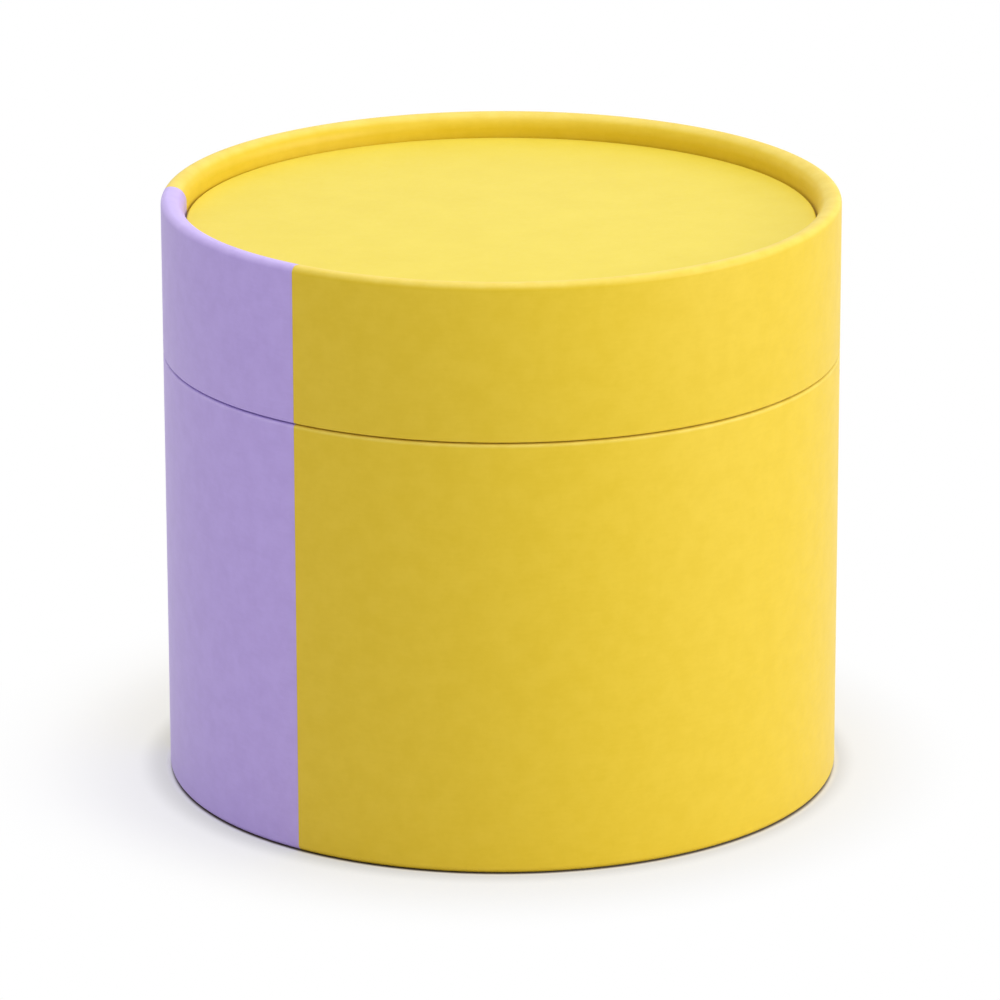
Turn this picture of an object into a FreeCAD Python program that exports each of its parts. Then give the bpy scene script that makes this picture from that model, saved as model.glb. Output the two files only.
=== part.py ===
"""Cylindrical gift tube box: a wound paperboard tube with a lift-off lid on an inner neck.

Millimetres, +Z up, origin at the centre of the foot ring on the surface the box stands on.
Every piece is a turned profile about Z. Layers that are glued lie one glue line apart.
"""
import FreeCAD
import Part
import math
import os

# Outside sizes
outer_radius = 50.0        # over the wrap paper, lid and base alike
overall_height = 87.9      # floor to the crest of the lid's rim
seam_height = 64.55        # floor to the top edge of the base

# Sheet and board thicknesses
wrap_paper = 0.2           # coloured wrap and cover papers
lining_paper = 0.15        # plain white lining papers
glue_line = 0.05           # between any two layers that are stuck together
base_board = 1.6           # wall of the base tube
neck_board = 1.5           # wall of the neck tube
disc_board = 2.0           # end discs of the lid and the base
panel_card = 0.8           # stiffener inside the lid's top panel

# Rolled ends and turned-in edges
rim_depth = 3.45           # crest of the lid's rim down to the top panel
foot_depth = 3.0           # floor up to the paper under the base
fold_gap = 0.2             # slot left inside a rolled edge
crest_round = 1.0          # rounding of the lid's rolled rim on its outside, on the paper
curl_round = 2.2           # rounding of the same rim on its inside, on the paper
least_land = 0.1           # narrowest flat that is left between the roundings of a rolled edge
foot_round = 1.0           # rounding of the pressed foot ring, on the paper
base_lip_round = 0.2       # rounding of the base's top edge at the seam, on the board
lid_lip_round = 0.05       # easing of the lid's lower edge at the seam, on the board
edge_round = 0.35          # easing of the cut edges inside the box, on the board
panel_round = 0.1          # easing of the panel card's top edge
hem_share = 0.52           # part of the lid's inner depth that the turned-in wrap covers

# Fits
lid_clearance = 0.3        # radial running gap between the lid's bore and the neck
seat_gap = 0.2             # axial gap between the lid and the base at the seam
disc_clearance = 0.3       # radial gap round an end disc
panel_gap = 0.3            # open groove round the top panel and round the paper under the base
neck_head_gap = 1.5        # top of the neck to the paper under the lid's disc

# Coloured wrap
lilac_width = 51.0         # width of the lilac sheet, measured round the outside
lilac_middle = 204.5       # angle of its middle, counted from +X towards +Y, in degrees
butt_gap = 0.1             # hairline where the yellow and lilac sheets meet

# Radii, from the outside in
paper_layer = wrap_paper + glue_line
tube_radius = outer_radius - paper_layer
base_bore = tube_radius - base_board
hem_bore = base_bore - paper_layer
neck_outside = hem_bore - glue_line
neck_radius = neck_outside - paper_layer
neck_bore = neck_radius - neck_board
lid_hem_bore = neck_outside + lid_clearance
lid_bore = lid_hem_bore + paper_layer
lid_board = tube_radius - lid_bore
lid_curl_radius = lid_bore - fold_gap - lid_board
lid_well_radius = lid_curl_radius - paper_layer
base_curl_radius = base_bore - fold_gap - base_board
base_well_radius = base_curl_radius - paper_layer
panel_card_radius = lid_well_radius - panel_gap - paper_layer

# Heights, from the floor up
foot_board_z = paper_layer
base_disc_z = foot_depth + lining_paper + glue_line
base_disc_top = base_disc_z + disc_board
neck_foot_z = base_disc_top + glue_line
base_top_board = seam_height - paper_layer
lid_low_board = seam_height + seat_gap + paper_layer
crest_board_z = overall_height - paper_layer
panel_card_top = overall_height - rim_depth - paper_layer
panel_card_z = panel_card_top - panel_card
lid_disc_top = panel_card_z - glue_line
lid_disc_z = lid_disc_top - disc_board
ceiling_z = lid_disc_z - glue_line - lining_paper
neck_top_board = ceiling_z - neck_head_gap - paper_layer
hem = hem_share * (ceiling_z - lid_low_board)


def left_normal(start, end):
    """Unit vector to the left of a run in the (r, z) half plane."""
    run = math.hypot(end[0] - start[0], end[1] - start[1])
    return (start[1] - end[1]) / run, (end[0] - start[0]) / run


def side_step(points, radii, distance):
    """An open path moved to its left, with its corner radii changed to match."""
    moved, rounds = [], []
    for i, (r, z) in enumerate(points):
        before = left_normal(points[i - 1], points[i]) if i else None
        after = left_normal(points[i], points[i + 1]) if i + 1 < len(points) else None
        a, b = before or after, after or before
        share = distance / (1 + a[0] * b[0] + a[1] * b[1])
        moved.append((r + share * (a[0] + b[0]), z + share * (a[1] + b[1])))
        turn = a[0] * b[1] - a[1] * b[0]
        inner_side = distance if turn > 0 else -distance
        rounds.append(max(0.0, radii[i] - inner_side) if turn else 0.0)
    return moved, rounds


def profile(corners, radii):
    """Closed face in the (r, z) half plane, each corner rounded by its own radius."""
    count = len(corners)
    points = [FreeCAD.Vector(r, 0, z) for r, z in corners]
    starts, ends, arcs = [], [], []
    for i in range(count):
        here = points[i]
        back = (points[i - 1] - here).normalize()
        ahead = (points[(i + 1) % count] - here).normalize()
        half = math.acos(max(-1.0, min(1.0, back.dot(ahead)))) / 2
        reach = radii[i] / math.tan(half)
        starts.append(here + back * reach)
        ends.append(here + ahead * reach)
        inward = (back + ahead).normalize()
        middle = here + inward * (radii[i] / math.sin(half) - radii[i])
        arcs.append(Part.Arc(starts[i], middle, ends[i]).toShape() if radii[i] > 0 else None)
    edges = []
    for i in range(count):
        if arcs[i]:
            edges.append(arcs[i])
        onward = starts[(i + 1) % count]
        if (onward - ends[i]).Length > 1e-6:
            edges.append(Part.LineSegment(ends[i], onward).toShape())
    return Part.Face(Part.Wire(edges))


def turned(face, start=0.0, sweep=360.0):
    """Solid swept by a half-plane face about Z, over sweep degrees from start."""
    solid = face.revolve(FreeCAD.Vector(0, 0, 0), FreeCAD.Vector(0, 0, 1), sweep)
    solid.rotate(FreeCAD.Vector(0, 0, 0), FreeCAD.Vector(0, 0, 1), start)
    return solid


def layer(points, radii, near, far):
    """Face of a sheet that follows a path: near and far are its two sides, left of the path."""
    near_points, near_radii = side_step(points, radii, near)
    far_points, far_radii = side_step(points, radii, far)
    return profile(near_points + far_points[::-1], near_radii + far_radii[::-1])


def plain_ring(r_in, r_out, z_low, z_high):
    """Square-edged ring, or a disc where r_in is zero."""
    corners = [(r_in, z_low), (r_out, z_low), (r_out, z_high), (r_in, z_high)]
    return turned(profile(corners, [0.0] * 4))


def rolled_edge_rounds(outside, inside, well_radius):
    """Board roundings of a rolled edge, outside and inside: the paper's, limited by the roll's width."""
    share = min(1.0, (outer_radius - well_radius - least_land) / (outside + inside))
    return [share * outside - paper_layer, share * inside - paper_layer]


# The outer face of each board, as a path from its turned-in hem to the end of its rolled edge
lid_path = [
    (lid_bore, lid_low_board + hem),
    (lid_bore, lid_low_board),
    (tube_radius, lid_low_board),
    (tube_radius, crest_board_z),
    (lid_curl_radius, crest_board_z),
    (lid_curl_radius, lid_disc_top + glue_line),
]
lid_rim_rounds = rolled_edge_rounds(crest_round, curl_round, lid_well_radius)
lid_path_rounds = [0.0, edge_round, lid_lip_round] + lid_rim_rounds + [0.0]
base_path = [
    (base_bore, base_top_board - hem),
    (base_bore, base_top_board),
    (tube_radius, base_top_board),
    (tube_radius, foot_board_z),
    (base_curl_radius, foot_board_z),
    (base_curl_radius, base_disc_z - glue_line),
]
base_foot_rounds = rolled_edge_rounds(foot_round, foot_round, base_well_radius)
base_path_rounds = [0.0, edge_round, base_lip_round] + base_foot_rounds + [0.0]


def board_side(path):
    """1 where the board lies to the left of its outer face's path, -1 where it lies to the right."""
    return 1 if path[1][1] < path[3][1] else -1


def rolled_tube(path, rounds, board):
    """Tube of one board: a straight wall whose far end is rolled inwards and back along itself.

    Its inside follows the outer face one board thickness in, sharp at the fold.
    """
    wall, wall_rounds = path[2:], rounds[2:]
    inside, _ = side_step(wall, wall_rounds, board_side(path) * board)
    inside_rounds = [0.0] * (len(inside) - 1) + [edge_round]
    return turned(profile(wall + inside[::-1], wall_rounds + inside_rounds))


def wrap_sheets(path, rounds):
    """Yellow and lilac wrap papers: one layer over the whole path, split at two hairlines."""
    face = layer(path, rounds, -board_side(path) * glue_line, -board_side(path) * paper_layer)
    lilac_sweep = math.degrees(lilac_width / outer_radius)
    gap_sweep = math.degrees(butt_gap / outer_radius)
    lilac_start = lilac_middle - lilac_sweep / 2
    yellow_start = lilac_start + lilac_sweep + gap_sweep
    lilac = turned(face, lilac_start, lilac_sweep)
    yellow = turned(face, yellow_start, 360.0 - lilac_sweep - 2 * gap_sweep)
    return yellow, lilac


def lid_pieces():
    """Everything that lifts off: tube, wraps, lining, end disc and top panel."""
    yellow, lilac = wrap_sheets(lid_path, lid_path_rounds)
    lining_foot = lid_low_board + hem + glue_line
    card_edge = [
        (0.0, panel_card_top),
        (panel_card_radius, panel_card_top),
        (panel_card_radius, panel_card_z),
    ]
    card_rounds = [0.0, panel_round, 0.0]
    return {
        "lid_tube": rolled_tube(lid_path, lid_path_rounds, lid_board),
        "lid_wrap_yellow": yellow,
        "lid_wrap_lilac": lilac,
        "lid_lining": plain_ring(
            lid_bore - glue_line - lining_paper, lid_bore - glue_line, lining_foot, lid_disc_z - glue_line
        ),
        "lid_disc": plain_ring(0.0, lid_bore - disc_clearance, lid_disc_z, lid_disc_top),
        "lid_ceiling_paper": plain_ring(
            0.0, lid_bore - glue_line - lining_paper - disc_clearance, ceiling_z, ceiling_z + lining_paper
        ),
        "lid_panel_card": turned(profile(card_edge + [(0.0, panel_card_z)], card_rounds + [0.0])),
        "lid_panel_paper": turned(layer(card_edge, card_rounds, glue_line, paper_layer)),
    }


def neck_pieces():
    """The inner tube that stands on the base disc and guides the lid."""
    edge = [
        (neck_radius, neck_foot_z),
        (neck_radius, neck_top_board),
        (neck_bore, neck_top_board),
        (neck_bore, neck_top_board - hem),
    ]
    rounds = [0.0, edge_round, edge_round, 0.0]
    board = [edge[0], edge[1], edge[2], (neck_bore, neck_foot_z)]
    lining_inside = neck_bore - glue_line - lining_paper
    return {
        "neck_tube": turned(profile(board, rounds)),
        "neck_cover": turned(layer(edge, rounds, -glue_line, -paper_layer)),
        "neck_lining": plain_ring(
            lining_inside, neck_bore - glue_line, neck_foot_z, neck_top_board - hem - glue_line
        ),
        "base_floor_paper": plain_ring(
            0.0, lining_inside - disc_clearance, neck_foot_z, neck_foot_z + lining_paper
        ),
    }


def base_pieces():
    """The tube that stands on its rolled foot ring, with its wraps and bottom disc."""
    yellow, lilac = wrap_sheets(base_path, base_path_rounds)
    return {
        "base_tube": rolled_tube(base_path, base_path_rounds, base_board),
        "base_wrap_yellow": yellow,
        "base_wrap_lilac": lilac,
        "base_disc": plain_ring(0.0, base_bore - disc_clearance, base_disc_z, base_disc_top),
        "base_under_paper": plain_ring(
            0.0, base_well_radius - panel_gap, foot_depth, foot_depth + lining_paper
        ),
    }


def main():
    pieces = {**base_pieces(), **neck_pieces(), **lid_pieces()}
    os.makedirs("parts", exist_ok=True)
    for name, shape in pieces.items():
        solids = shape.Solids
        assert len(solids) == 1 and shape.isValid() and solids[0].Volume > 0, name
        solids[0].exportStep(os.path.join("parts", name + ".step"))
        box = solids[0].optimalBoundingBox()
        print(f"{name}: {solids[0].Volume:.1f} mm3, z {box.ZMin:.2f} to {box.ZMax:.2f}, x to {box.XMax:.2f}")


main()
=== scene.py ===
"""Looks of the cylindrical gift tube box: paper sheets, boards, light and camera, in metres."""
import math
import bpy
from mathutils import Matrix, Vector


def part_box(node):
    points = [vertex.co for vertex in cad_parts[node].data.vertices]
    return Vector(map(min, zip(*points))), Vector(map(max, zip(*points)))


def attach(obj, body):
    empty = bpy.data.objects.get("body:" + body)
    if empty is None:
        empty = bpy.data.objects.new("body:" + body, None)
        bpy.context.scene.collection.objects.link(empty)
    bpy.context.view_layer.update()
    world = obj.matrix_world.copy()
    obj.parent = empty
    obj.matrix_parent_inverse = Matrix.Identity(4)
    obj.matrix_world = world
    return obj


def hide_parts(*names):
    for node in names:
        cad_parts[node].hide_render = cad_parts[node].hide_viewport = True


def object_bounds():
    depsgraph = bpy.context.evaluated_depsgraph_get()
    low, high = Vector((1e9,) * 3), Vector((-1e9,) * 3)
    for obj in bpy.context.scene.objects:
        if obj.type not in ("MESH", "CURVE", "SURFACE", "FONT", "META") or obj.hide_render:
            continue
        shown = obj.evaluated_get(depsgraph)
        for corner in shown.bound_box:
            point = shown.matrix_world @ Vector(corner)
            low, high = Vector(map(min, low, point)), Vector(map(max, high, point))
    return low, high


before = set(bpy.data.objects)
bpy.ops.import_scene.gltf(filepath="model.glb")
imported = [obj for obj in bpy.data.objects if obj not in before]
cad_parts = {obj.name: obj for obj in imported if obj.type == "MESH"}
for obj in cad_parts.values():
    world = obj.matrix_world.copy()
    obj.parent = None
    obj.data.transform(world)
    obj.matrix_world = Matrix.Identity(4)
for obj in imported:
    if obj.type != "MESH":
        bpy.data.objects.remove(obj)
cad_low, cad_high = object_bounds()

MM = 0.001
FULL_TURN = 360

# Papers, their glue line and the rounded edges of their outer faces, as in the solids
WRAP_PAPER = 0.2 * MM
LINING_PAPER = 0.15 * MM
GLUE = 0.05 * MM
PAPER_LAYER = WRAP_PAPER + GLUE
CREST_ROUND = 1.0 * MM
CURL_ROUND = 2.2 * MM
FOOT_ROUND = 1.0 * MM
BASE_LIP_ROUND = 0.45 * MM
LID_LIP_ROUND = 0.3 * MM
CUT_EDGE_ROUND = 0.6 * MM
PANEL_EDGE_ROUND = 0.35 * MM
DISC_EDGE_ROUND = 0.05 * MM

# Fineness of the meshes, angles in degrees
ARC_STEPS = 8
STEP_DEGREES = 1.25
DISC_SIDES = 288
DISC_EDGE_STEPS = 2
SMOOTH_BELOW = 35
SAME_POINT = 0.001 * MM

# Where sheets meet round the axis, in degrees
HAIRLINE = 0.03
BACK_SEAM = 90.0
SEAM_GAP = 0.2

# Colours, in linear light
YELLOW_PALE = (0.805, 0.570, 0.023, 1)
YELLOW_DEEP = (0.763, 0.533, 0.011, 1)
# Paler yellow of the painted highlight along crest and lip, patchy like rubbed wear
YELLOW_WORN_HIGHLIGHT = (0.92, 0.77, 0.20, 1)
# The panel's yellow is paler and greener than the wraps': painted light for the brightly lit top face
PANEL_LIT_PALE = (0.802, 0.643, 0.042, 1)
PANEL_LIT_DEEP = (0.772, 0.608, 0.028, 1)
LILAC_PALE = (0.536, 0.409, 0.855, 1)
LILAC_DEEP = (0.490, 0.365, 0.796, 1)
# Paler lilac of the painted highlight along crest and lip, patchy like rubbed wear
LILAC_WORN_HIGHLIGHT = (0.66, 0.55, 0.90, 1)
WHITE_PALE = (0.88, 0.87, 0.83, 1)
WHITE_DEEP = (0.80, 0.79, 0.74, 1)
BOARD_PALE = (0.50, 0.44, 0.36, 1)
BOARD_DEEP = (0.33, 0.28, 0.22, 1)
PURE_WHITE = (1, 1, 1, 1)

# Paper: noise scales per metre, how much the fine grain counts beside the clouds, and how soft the clouds are
CLOUD_SCALE = 330
PANEL_CLOUD_SCALE = 150
GRAIN_SCALE = 1100
FIBRE_SCALE = 420
RELIEF_SCALE = 2600
FIBRE_STRETCH = (1.0, 1.0, 6.0)
FIBRE_TO_GRAIN = 0.8
PAPER_TOOTH = 0.25
PANEL_TOOTH = 0.12
PAPER_SOFTNESS = 0.2
PANEL_SOFTNESS = 0.3
FELT_TO_RELIEF = 0.6
RELIEF_DEPTH = 0.03 * MM
PAPER_ROUGHNESS = (0.45, 0.53)
PAPER_IOR = 1.45
PAPER_SHEEN = 0.06
SHEEN_ROUGHNESS = 0.4

# Painted highlight along the lid's crest and the base's lip, broken into patches like rubbed wear: how far
# from the edge it reaches, and how much of the pale colour it takes
CREST_HIGHLIGHT_REACH = 0.9 * MM
LIP_HIGHLIGHT_REACH = 0.7 * MM
FULL_HIGHLIGHT_SHARE = 0.3
HIGHLIGHT_PATCH_SPAN = (0.35, 0.65)
HIGHLIGHT_PATCH_SHARE = (0.24, 0.4)

# Board
PULP_SCALE = 300
FLECK_SCALE = 1500
FLECK_SPAN = (0.60, 0.70)
FLECK_DARKNESS = 0.6
PULP_BUMP = 0.4
PULP_DEPTH = 0.05 * MM
BOARD_ROUGHNESS = (0.82, 0.95)

# Middle of a noise's values, and the span in which most of them lie
NOISE_MIDDLE = 0.5
NOISE_SPAN = (0.3, 0.7)

# Sockets of a colour mix
MIX_SHARE, MIX_FIRST, MIX_SECOND, MIX_RESULT = 0, 6, 7, 2

# Table: colours, its painted contact shadow and painted grey shade round the foot, and its fading, by
# distance from the box's axis or from a place near it
FOOT_RADIUS = cad_high[0]
FLOOR_SIZE = 12
FLOOR_SEEN = (0.9, 0.9, 0.92, 1)
FLOOR_BOUNCE = (0.8, 0.8, 0.8, 1)
# Colour of the painted contact shadow under the foot
FLOOR_CONTACT_SHADOW = (0.16, 0.13, 0.10, 1)
AXIS_FOOT = (0, 0, 0)
CONTACT_SHADOW_MIDDLE = (0, -0.2 * MM, 0)
CONTACT_SHADOW_SPAN = (FOOT_RADIUS - 0.6 * MM, FOOT_RADIUS + 0.2 * MM)
SHADE_MIDDLE = (-0.8 * MM, 0.2 * MM, 0)
FOOT_SHADE_SPAN = (FOOT_RADIUS + 0.2 * MM, FOOT_RADIUS + 4.5 * MM)
FOOT_SHADE_LEVELS = (0.64, 0.9)
WIDE_SHADE_SPAN = (FOOT_RADIUS + 0.2 * MM, FOOT_RADIUS + 22.0 * MM)
WIDE_SHADE_LEVELS = (0.0, 0.1)
NEAR_FADE_SPAN = (FOOT_RADIUS - 0.1 * MM, FOOT_RADIUS + 1.0 * MM)
NEAR_FADE_SHARES = (0.0, 0.65)
SHADOW_MIDDLE = (-6.0 * MM, 3.0 * MM, 0)
FAR_FADE_SPAN = (FOOT_RADIUS, FOOT_RADIUS + 28.0 * MM)
FAR_FADE_SHARES = (0.0, 0.35)

# Light: azimuth from the camera's side towards +X and elevation in degrees, size in metres, power in watts
SURROUND_LEVEL = 0.48
LAMP_DISTANCE = 1.2
LAMP_AIM = Vector((0, 0, 0.045))
LAMPS = (
    ("low key", 75, 5, 0.8, 6.8),
    ("key", 75, 22, 0.8, 3.2),
    ("front top", 0, 58, 0.5, 1.3),
    ("top", 0, 80, 0.7, 4.4),
    ("back top", 180, 60, 0.8, 3.5),
)

# Camera: place and far clip in metres, angles in radians, lens and sensor in millimetres
CAMERA_PLACE = (0, -0.9235, 0.33277)
CAMERA_PITCH = 0.30644
CAMERA_ROLL = 0.00223
CAMERA_AIM = 0.000297
CAMERA_LENS = 233.9
CAMERA_SENSOR = 36
CAMERA_REACH = 50


def node_radii(node):
    """Smallest and largest radius of a CAD node about the tube's axis."""
    radii = [math.hypot(v.co.x, v.co.y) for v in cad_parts[node].data.vertices]
    return min(radii), max(radii)


def node_heights(node):
    """Lowest and highest z of a CAD node."""
    low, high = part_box(node)
    return low.z, high.z


def rounded_path(corners):
    """Points along an open (r, z) path of square corners, each given as (r, z, rounding)."""
    points = [Vector(corners[0][:2])]
    for before, corner, after in zip(corners, corners[1:], corners[2:]):
        here = Vector(corner[:2])
        back = (Vector(before[:2]) - here).normalized()
        ahead = (Vector(after[:2]) - here).normalized()
        middle = here + (back + ahead) * corner[2]
        for step in range(ARC_STEPS + 1):
            turn = math.pi / 2 * step / ARC_STEPS
            points.append(middle - corner[2] * (ahead * math.cos(turn) + back * math.sin(turn)))
    points.append(Vector(corners[-1][:2]))
    return points


def on_half_plane(point, degrees):
    """An (r, z) point as a place in the half plane at that angle round the axis."""
    turn = math.radians(degrees)
    return Vector((point[0] * math.cos(turn), point[0] * math.sin(turn), point[1]))


def fit_piece(piece, body, node, finish):
    """Smooth a finished mesh, dress it and let it stand for its CAD node."""
    bpy.ops.object.shade_smooth_by_angle(angle=math.radians(SMOOTH_BELOW))
    piece.data.materials.append(finish)
    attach(piece, body)
    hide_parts(node)


def spun_sheet(name, corners, start, sweep, thickness):
    """A paper sheet: one face is drawn as a path, spun round the axis and thickened inwards."""
    path = [on_half_plane(point, start) for point in rounded_path(corners)]
    bpy.ops.object.select_all(action="DESELECT")
    bpy.ops.mesh.primitive_plane_add(size=MM)
    piece = bpy.context.object
    piece.name = name
    bpy.ops.object.mode_set(mode="EDIT")
    bpy.ops.mesh.select_all(action="SELECT")
    bpy.ops.mesh.merge(type="CENTER")
    bpy.ops.transform.translate(value=path[0])
    for here, onward in zip(path, path[1:]):
        bpy.ops.mesh.extrude_region_move(TRANSFORM_OT_translate={"value": onward - here})
    bpy.ops.mesh.select_all(action="SELECT")
    bpy.ops.mesh.spin(
        steps=round(sweep / STEP_DEGREES), angle=math.radians(sweep), center=(0, 0, 0), axis=(0, 0, -1)
    )
    bpy.ops.mesh.select_all(action="SELECT")
    bpy.ops.mesh.remove_doubles(threshold=SAME_POINT)
    bpy.ops.mesh.normals_make_consistent(inside=False)
    bpy.ops.object.mode_set(mode="OBJECT")
    wall = piece.modifiers.new("paper thickness", "SOLIDIFY")
    wall.thickness = thickness
    wall.offset = -1.0
    wall.use_even_offset = True
    bpy.ops.object.modifier_apply(modifier=wall.name)
    return piece


def flat_disc(name, radius, low, high):
    """A round of paper: a filled circle drawn up to its thickness, its edge just broken."""
    bpy.ops.object.select_all(action="DESELECT")
    bpy.ops.mesh.primitive_circle_add(vertices=DISC_SIDES, radius=radius, fill_type="NGON")
    piece = bpy.context.object
    piece.name = name
    bpy.ops.object.mode_set(mode="EDIT")
    bpy.ops.mesh.select_all(action="SELECT")
    bpy.ops.transform.translate(value=(0, 0, low))
    bpy.ops.mesh.extrude_region_move(TRANSFORM_OT_translate={"value": (0, 0, high - low)})
    bpy.ops.mesh.select_all(action="SELECT")
    bpy.ops.mesh.normals_make_consistent(inside=False)
    bpy.ops.object.mode_set(mode="OBJECT")
    edge = piece.modifiers.new("broken edge", "BEVEL")
    edge.width = DISC_EDGE_ROUND
    edge.segments = DISC_EDGE_STEPS
    edge.limit_method = "ANGLE"
    bpy.ops.object.modifier_apply(modifier=edge.name)
    return piece


class Finish:
    """A material under construction: short names for the nodes that papers, boards and table use."""

    def __init__(self, name):
        self.material = bpy.data.materials.new(name)
        self.material.use_nodes = True
        self.nodes = self.material.node_tree.nodes
        self.links = self.material.node_tree.links
        self.shader = self.nodes["Principled BSDF"]
        self.place = self.nodes.new("ShaderNodeTexCoord").outputs["Object"]

    def join(self, source, socket):
        self.links.new(source, socket)

    def noise(self, scale, detail, roughness=0.5, stretch=None):
        """A noise over the piece, squeezed along an axis where stretch is given."""
        place = self.place
        if stretch:
            mapping = self.nodes.new("ShaderNodeMapping")
            mapping.inputs["Scale"].default_value = stretch
            self.join(place, mapping.inputs["Vector"])
            place = mapping.outputs["Vector"]
        node = self.nodes.new("ShaderNodeTexNoise")
        node.inputs["Scale"].default_value = scale
        node.inputs["Detail"].default_value = detail
        node.inputs["Roughness"].default_value = roughness
        self.join(place, node.inputs["Vector"])
        return node.outputs["Fac"]

    def ramp(self, value, low, high, to_low=0.0, to_high=1.0, smooth=False):
        """The span from low to high carried over to the span from to_low to to_high, flat outside it."""
        node = self.nodes.new("ShaderNodeMapRange")
        node.interpolation_type = "SMOOTHSTEP" if smooth else "LINEAR"
        node.inputs["From Min"].default_value = low
        node.inputs["From Max"].default_value = high
        node.inputs["To Min"].default_value = to_low
        node.inputs["To Max"].default_value = to_high
        self.join(value, node.inputs["Value"])
        return node.outputs["Result"]

    def maths(self, operation, first, second=0.0):
        """One step of arithmetic on sockets or plain numbers."""
        node = self.nodes.new("ShaderNodeMath")
        node.operation = operation
        for socket, value in zip(node.inputs, (first, second)):
            if isinstance(value, (int, float)):
                socket.default_value = value
            else:
                self.join(value, socket)
        return node.outputs["Value"]

    def blend(self, share, first, second):
        """The first colour where share is zero, the second where it is one."""
        node = self.nodes.new("ShaderNodeMix")
        node.data_type = "RGBA"
        self.join(share, node.inputs[MIX_SHARE])
        for socket, value in zip((node.inputs[MIX_FIRST], node.inputs[MIX_SECOND]), (first, second)):
            if isinstance(value, tuple):
                socket.default_value = value
            else:
                self.join(value, socket)
        return node.outputs[MIX_RESULT]

    def height(self):
        """The z of the place on the piece."""
        node = self.nodes.new("ShaderNodeSeparateXYZ")
        self.join(self.place, node.inputs["Vector"])
        return node.outputs["Z"]

    def reach(self, middle):
        """How far the place is from that point."""
        node = self.nodes.new("ShaderNodeVectorMath")
        node.operation = "DISTANCE"
        node.inputs[1].default_value = middle
        self.join(self.place, node.inputs[0])
        return node.outputs["Value"]

    def bump(self, value, strength, distance):
        """Fine relief of the surface."""
        node = self.nodes.new("ShaderNodeBump")
        node.inputs["Strength"].default_value = strength
        node.inputs["Distance"].default_value = distance
        self.join(value, node.inputs["Height"])
        self.join(node.outputs["Normal"], self.shader.inputs["Normal"])


def paper_finish(
    name, pale, deep, worn_highlight=None, highlight_edges=(), tooth=PAPER_TOOTH, cloud_scale=CLOUD_SCALE, softness=PAPER_SOFTNESS
):
    """Dyed satin paper: cloudy tone, fine grain, and a painted highlight, patchy like rubbed wear, near edges
    given as (z, reach).
    """
    f = Finish(name)
    cloud = f.noise(cloud_scale, detail=3, roughness=0.55)
    grain = f.noise(GRAIN_SCALE, detail=3, roughness=0.6)
    fibre = f.noise(FIBRE_SCALE, detail=2, stretch=FIBRE_STRETCH)
    fibre_share = tooth * FIBRE_TO_GRAIN
    fine = f.maths("ADD", f.maths("MULTIPLY", grain, tooth), f.maths("MULTIPLY", fibre, fibre_share))
    tone = f.maths("ADD", f.maths("MULTIPLY", cloud, 1 - tooth - fibre_share), fine)
    paleness = f.ramp(tone, NOISE_MIDDLE - softness, NOISE_MIDDLE + softness, smooth=True)
    colour = f.blend(paleness, deep, pale)
    # Painted highlight: near each edge the paper turns towards the pale colour, in patches like rubbed wear
    for height, highlight_reach in highlight_edges:
        away = f.maths("ABSOLUTE", f.maths("SUBTRACT", f.height(), height))
        near = f.ramp(away, highlight_reach * FULL_HIGHLIGHT_SHARE, highlight_reach, to_low=1.0, to_high=0.0, smooth=True)
        rubbed_highlight = f.maths("MULTIPLY", near, f.ramp(cloud, *HIGHLIGHT_PATCH_SPAN, *HIGHLIGHT_PATCH_SHARE))
        colour = f.blend(rubbed_highlight, colour, worn_highlight)
    f.join(colour, f.shader.inputs["Base Color"])
    f.join(f.ramp(grain, *NOISE_SPAN, *PAPER_ROUGHNESS), f.shader.inputs["Roughness"])
    f.shader.inputs["IOR"].default_value = PAPER_IOR
    f.shader.inputs["Sheen Weight"].default_value = PAPER_SHEEN
    f.shader.inputs["Sheen Roughness"].default_value = SHEEN_ROUGHNESS
    felt = f.maths("MULTIPLY", f.noise(RELIEF_SCALE, detail=2), FELT_TO_RELIEF)
    ribs = f.maths("MULTIPLY", fibre, 1 - FELT_TO_RELIEF)
    f.bump(f.maths("ADD", felt, ribs), tooth, RELIEF_DEPTH)
    return f.material


def board_finish(name):
    """Bare wound board: grey-brown pulp with darker flecks."""
    f = Finish(name)
    pulp = f.noise(PULP_SCALE, detail=5, roughness=0.65)
    fleck = f.ramp(f.noise(FLECK_SCALE, detail=2), *FLECK_SPAN)
    tone = f.maths("SUBTRACT", f.ramp(pulp, *NOISE_SPAN), f.maths("MULTIPLY", fleck, FLECK_DARKNESS))
    f.join(f.blend(tone, BOARD_DEEP, BOARD_PALE), f.shader.inputs["Base Color"])
    f.join(f.ramp(pulp, *NOISE_SPAN, *BOARD_ROUGHNESS), f.shader.inputs["Roughness"])
    f.bump(pulp, PULP_BUMP, PULP_DEPTH)
    return f.material


def lilac_span(part):
    """Where the lilac sheet of the lid or the base starts, and how far it runs, in degrees."""
    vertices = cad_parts[f"{part}_wrap_lilac"].data.vertices
    turns = [math.degrees(math.atan2(v.co.y, v.co.x)) % FULL_TURN for v in vertices]
    return min(turns), max(turns) - min(turns)


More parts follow.
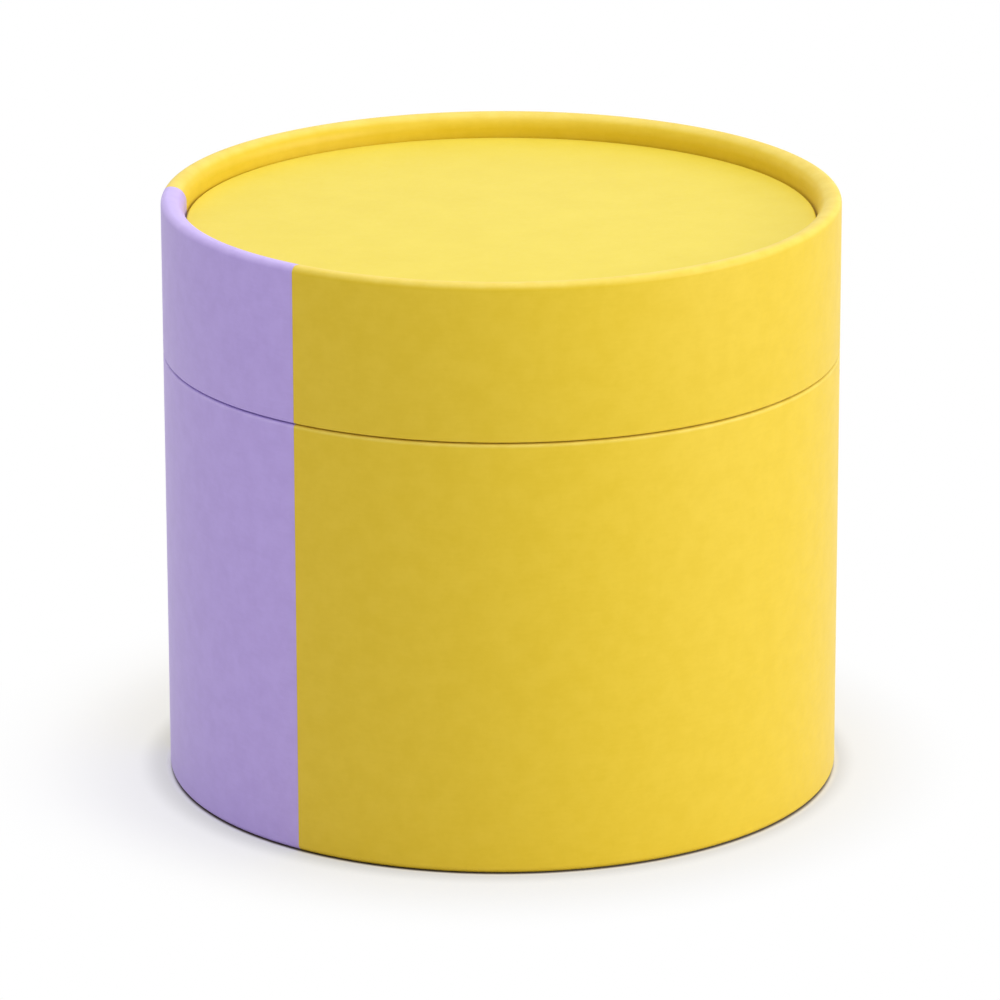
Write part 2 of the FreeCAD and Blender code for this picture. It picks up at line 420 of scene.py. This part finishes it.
def coloured_wraps(part, corners, highlight_edges):
    """The yellow and the lilac sheet of the lid or the base."""
    lilac_start, lilac_sweep = lilac_span(part)
    yellow_start = lilac_start + lilac_sweep + HAIRLINE
    yellow_sweep = FULL_TURN - lilac_sweep - 2 * HAIRLINE
    sheets = (
        ("yellow", yellow_start, yellow_sweep, YELLOW_PALE, YELLOW_DEEP, YELLOW_WORN_HIGHLIGHT),
        ("lilac", lilac_start, lilac_sweep, LILAC_PALE, LILAC_DEEP, LILAC_WORN_HIGHLIGHT),
    )
    for colour, start, sweep, pale, deep, worn_highlight in sheets:
        sheet = spun_sheet(f"{part}_{colour}_sheet", corners, start, sweep, WRAP_PAPER)
        finish = paper_finish(f"{part} {colour} paper", pale, deep, worn_highlight, highlight_edges)
        fit_piece(sheet, part, f"{part}_wrap_{colour}", finish)


def white_sheet(name, corners, body, node, thickness, finish):
    """A white paper wound round a tube, with its butt seam at the back."""
    sheet = spun_sheet(name, corners, BACK_SEAM, FULL_TURN - SEAM_GAP, thickness)
    fit_piece(sheet, body, node, finish)


def white_lining(name, body, node, finish):
    """A white paper ring that lines a tube."""
    low, high = node_heights(node)
    outside = node_radii(node)[1]
    white_sheet(name, [(outside, low, 0), (outside, high, 0)], body, node, LINING_PAPER, finish)


def white_round(name, body, node, finish):
    """A flat round of white paper."""
    disc = flat_disc(name, node_radii(node)[1], *node_heights(node))
    fit_piece(disc, body, node, finish)


def make_panel():
    """The yellow cover paper of the sunk top panel."""
    low, top = node_heights("lid_panel_paper")
    radius = node_radii("lid_panel_paper")[1]
    corners = [(0, top, 0), (radius, top, PANEL_EDGE_ROUND), (radius, low, 0)]
    panel = spun_sheet("lid_panel_cover", corners, 0, FULL_TURN, WRAP_PAPER)
    # Its paler yellow is painted light for the brightly lit top
    finish = paper_finish(
        "panel yellow paper", PANEL_LIT_PALE, PANEL_LIT_DEEP,
        tooth=PANEL_TOOTH, cloud_scale=PANEL_CLOUD_SCALE, softness=PANEL_SOFTNESS,
    )
    fit_piece(panel, "lid", "lid_panel_paper", finish)


def make_lid():
    """Coloured sheets, top panel and white papers of the lid."""
    low, crest = node_heights("lid_wrap_yellow")
    well, outside = node_radii("lid_wrap_yellow")
    hem_bore = node_radii("lid_lining")[1] - WRAP_PAPER
    hem_top = node_heights("lid_lining")[0] - GLUE
    corners = [
        (hem_bore, hem_top, 0),
        (hem_bore, low, CUT_EDGE_ROUND),
        (outside, low, LID_LIP_ROUND),
        (outside, crest, CREST_ROUND),
        (well, crest, CURL_ROUND),
        (well, node_heights("lid_panel_paper")[0], 0),
    ]
    # The crest gets a painted highlight
    coloured_wraps("lid", corners, ((crest, CREST_HIGHLIGHT_REACH),))
    make_panel()
    white = paper_finish("lid white paper", WHITE_PALE, WHITE_DEEP)
    white_lining("lid_inside_lining", "lid", "lid_lining", white)
    white_round("lid_ceiling_round", "lid", "lid_ceiling_paper", white)


def make_base():
    """Coloured sheets, neck papers, floor and underside papers of the base."""
    low, top = node_heights("base_wrap_yellow")
    well, outside = node_radii("base_wrap_yellow")
    neck_low, neck_top = node_heights("neck_cover")
    neck_inside, neck_outside = node_radii("neck_cover")
    lining_top = node_heights("neck_lining")[1]
    hem = neck_top - PAPER_LAYER - lining_top - GLUE
    wrap_corners = [
        (neck_outside + GLUE, top - PAPER_LAYER - hem, 0),
        (neck_outside + GLUE, top, CUT_EDGE_ROUND),
        (outside, top, BASE_LIP_ROUND),
        (outside, low, FOOT_ROUND),
        (well, low, FOOT_ROUND),
        (well, node_heights("base_under_paper")[1], 0),
    ]
    # The lip gets a painted highlight
    coloured_wraps("base", wrap_corners, ((top, LIP_HIGHLIGHT_REACH),))
    cover_corners = [
        (neck_outside, neck_low, 0),
        (neck_outside, neck_top, CUT_EDGE_ROUND),
        (neck_inside, neck_top, CUT_EDGE_ROUND),
        (neck_inside, lining_top + GLUE, 0),
    ]
    white = paper_finish("neck white paper", WHITE_PALE, WHITE_DEEP)
    white_sheet("neck_outer_paper", cover_corners, "base", "neck_cover", WRAP_PAPER, white)
    white_lining("neck_inner_paper", "base", "neck_lining", white)
    white_round("inside_floor_round", "base", "base_floor_paper", white)
    white_round("underside_round", "base", "base_under_paper", white)


def dress_boards():
    """The boards keep their CAD solids and get a bare board finish."""
    board = board_finish("wound board")
    for name in ("base_tube", "base_disc", "neck_tube", "lid_tube", "lid_disc", "lid_panel_card"):
        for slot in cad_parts[name].material_slots:
            slot.material = board


def seen_directly(nodes, links):
    """One where a camera, glossy or transmission ray looks, zero for the light that bounces."""
    path = nodes.new("ShaderNodeLightPath")
    seen = path.outputs["Is Camera Ray"]
    for kind in ("Is Glossy Ray", "Is Transmission Ray"):
        either = nodes.new("ShaderNodeMath")
        either.operation = "MAXIMUM"
        links.new(seen, either.inputs[0])
        links.new(path.outputs[kind], either.inputs[1])
        seen = either.outputs["Value"]
    return seen


def make_floor():
    """A plain pale table: lit near the box, with a painted dark contact line and painted grey shade at its
    foot, and white to the eye further out.
    """
    bpy.ops.object.select_all(action="DESELECT")
    bpy.ops.mesh.primitive_plane_add(size=FLOOR_SIZE)
    floor = bpy.context.object
    floor.name = "floor"
    f = Finish("white table")
    f.nodes.remove(f.shader)
    direct = seen_directly(f.nodes, f.links)
    # Painted contact shadow: the table goes dark just under and round the foot
    painted_contact_shadow = f.ramp(f.reach(CONTACT_SHADOW_MIDDLE), *CONTACT_SHADOW_SPAN, smooth=True)
    table = f.blend(direct, FLOOR_BOUNCE, FLOOR_SEEN)
    matte = f.nodes.new("ShaderNodeBsdfDiffuse")
    f.join(f.blend(painted_contact_shadow, FLOOR_CONTACT_SHADOW, table), matte.inputs["Color"])
    # Painted shade: the seen emission is grey near the foot, wider to the left, and rises to white further
    # out
    shade_reach = f.reach(SHADE_MIDDLE)
    foot_shade = f.ramp(shade_reach, *FOOT_SHADE_SPAN, *FOOT_SHADE_LEVELS, smooth=True)
    wide_shade = f.ramp(shade_reach, *WIDE_SHADE_SPAN, *WIDE_SHADE_LEVELS, smooth=True)
    white = f.nodes.new("ShaderNodeEmission")
    f.join(f.maths("ADD", foot_shade, wide_shade), white.inputs["Strength"])
    near = f.ramp(f.reach(AXIS_FOOT), *NEAR_FADE_SPAN, *NEAR_FADE_SHARES, smooth=True)
    far = f.ramp(f.reach(SHADOW_MIDDLE), *FAR_FADE_SPAN, *FAR_FADE_SHARES, smooth=True)
    mix = f.nodes.new("ShaderNodeMixShader")
    f.join(f.maths("MULTIPLY", f.maths("ADD", near, far), direct), mix.inputs["Fac"])
    f.join(matte.outputs["BSDF"], mix.inputs[1])
    f.join(white.outputs["Emission"], mix.inputs[2])
    f.join(mix.outputs["Shader"], f.nodes["Material Output"].inputs["Surface"])
    floor.data.materials.append(f.material)


def make_world():
    """Even white surround: dim as a light, white to the eye."""
    world = bpy.data.worlds.new("white surround")
    bpy.context.scene.world = world
    world.use_nodes = True
    nodes, links = world.node_tree.nodes, world.node_tree.links
    surround = nodes["Background"]
    surround.inputs["Color"].default_value = PURE_WHITE
    surround.inputs["Strength"].default_value = SURROUND_LEVEL
    seen = nodes.new("ShaderNodeBackground")
    seen.inputs["Color"].default_value = PURE_WHITE
    mix = nodes.new("ShaderNodeMixShader")
    links.new(seen_directly(nodes, links), mix.inputs["Fac"])
    links.new(surround.outputs["Background"], mix.inputs[1])
    links.new(seen.outputs["Background"], mix.inputs[2])
    links.new(mix.outputs["Shader"], nodes["World Output"].inputs["Surface"])


def soft_lamp(name, azimuth, elevation, size, power):
    """A square soft light that faces the box."""
    turn, rise = math.radians(azimuth), math.radians(elevation)
    out = Vector((math.sin(turn) * math.cos(rise), -math.cos(turn) * math.cos(rise), math.sin(rise)))
    bpy.ops.object.light_add(type="AREA", location=LAMP_AIM + out * LAMP_DISTANCE)
    lamp = bpy.context.object
    lamp.name = name
    lamp.rotation_euler = out.to_track_quat("Z", "Y").to_euler()
    lamp.data.size = size
    lamp.data.energy = power


def make_light():
    """The white surround and the soft lamps."""
    make_world()
    for lamp in LAMPS:
        soft_lamp(*lamp)


def make_camera():
    """A long lens a little above the box, nearly straight on."""
    bpy.ops.object.camera_add(location=CAMERA_PLACE)
    camera = bpy.context.object
    tilt = Matrix.Rotation(math.pi / 2 - CAMERA_PITCH, 3, "X")
    aim = Matrix.Rotation(CAMERA_AIM, 3, "Y")
    roll = Matrix.Rotation(-CAMERA_ROLL, 3, "Z")
    camera.rotation_euler = (tilt @ aim @ roll).to_euler()
    camera.data.sensor_width = CAMERA_SENSOR
    camera.data.lens = CAMERA_LENS
    camera.data.clip_end = CAMERA_REACH
    bpy.context.scene.camera = camera


make_lid()
make_base()
dress_boards()
make_floor()
make_light()
make_camera()
bpy.context.scene.view_settings.view_transform = "Standard"
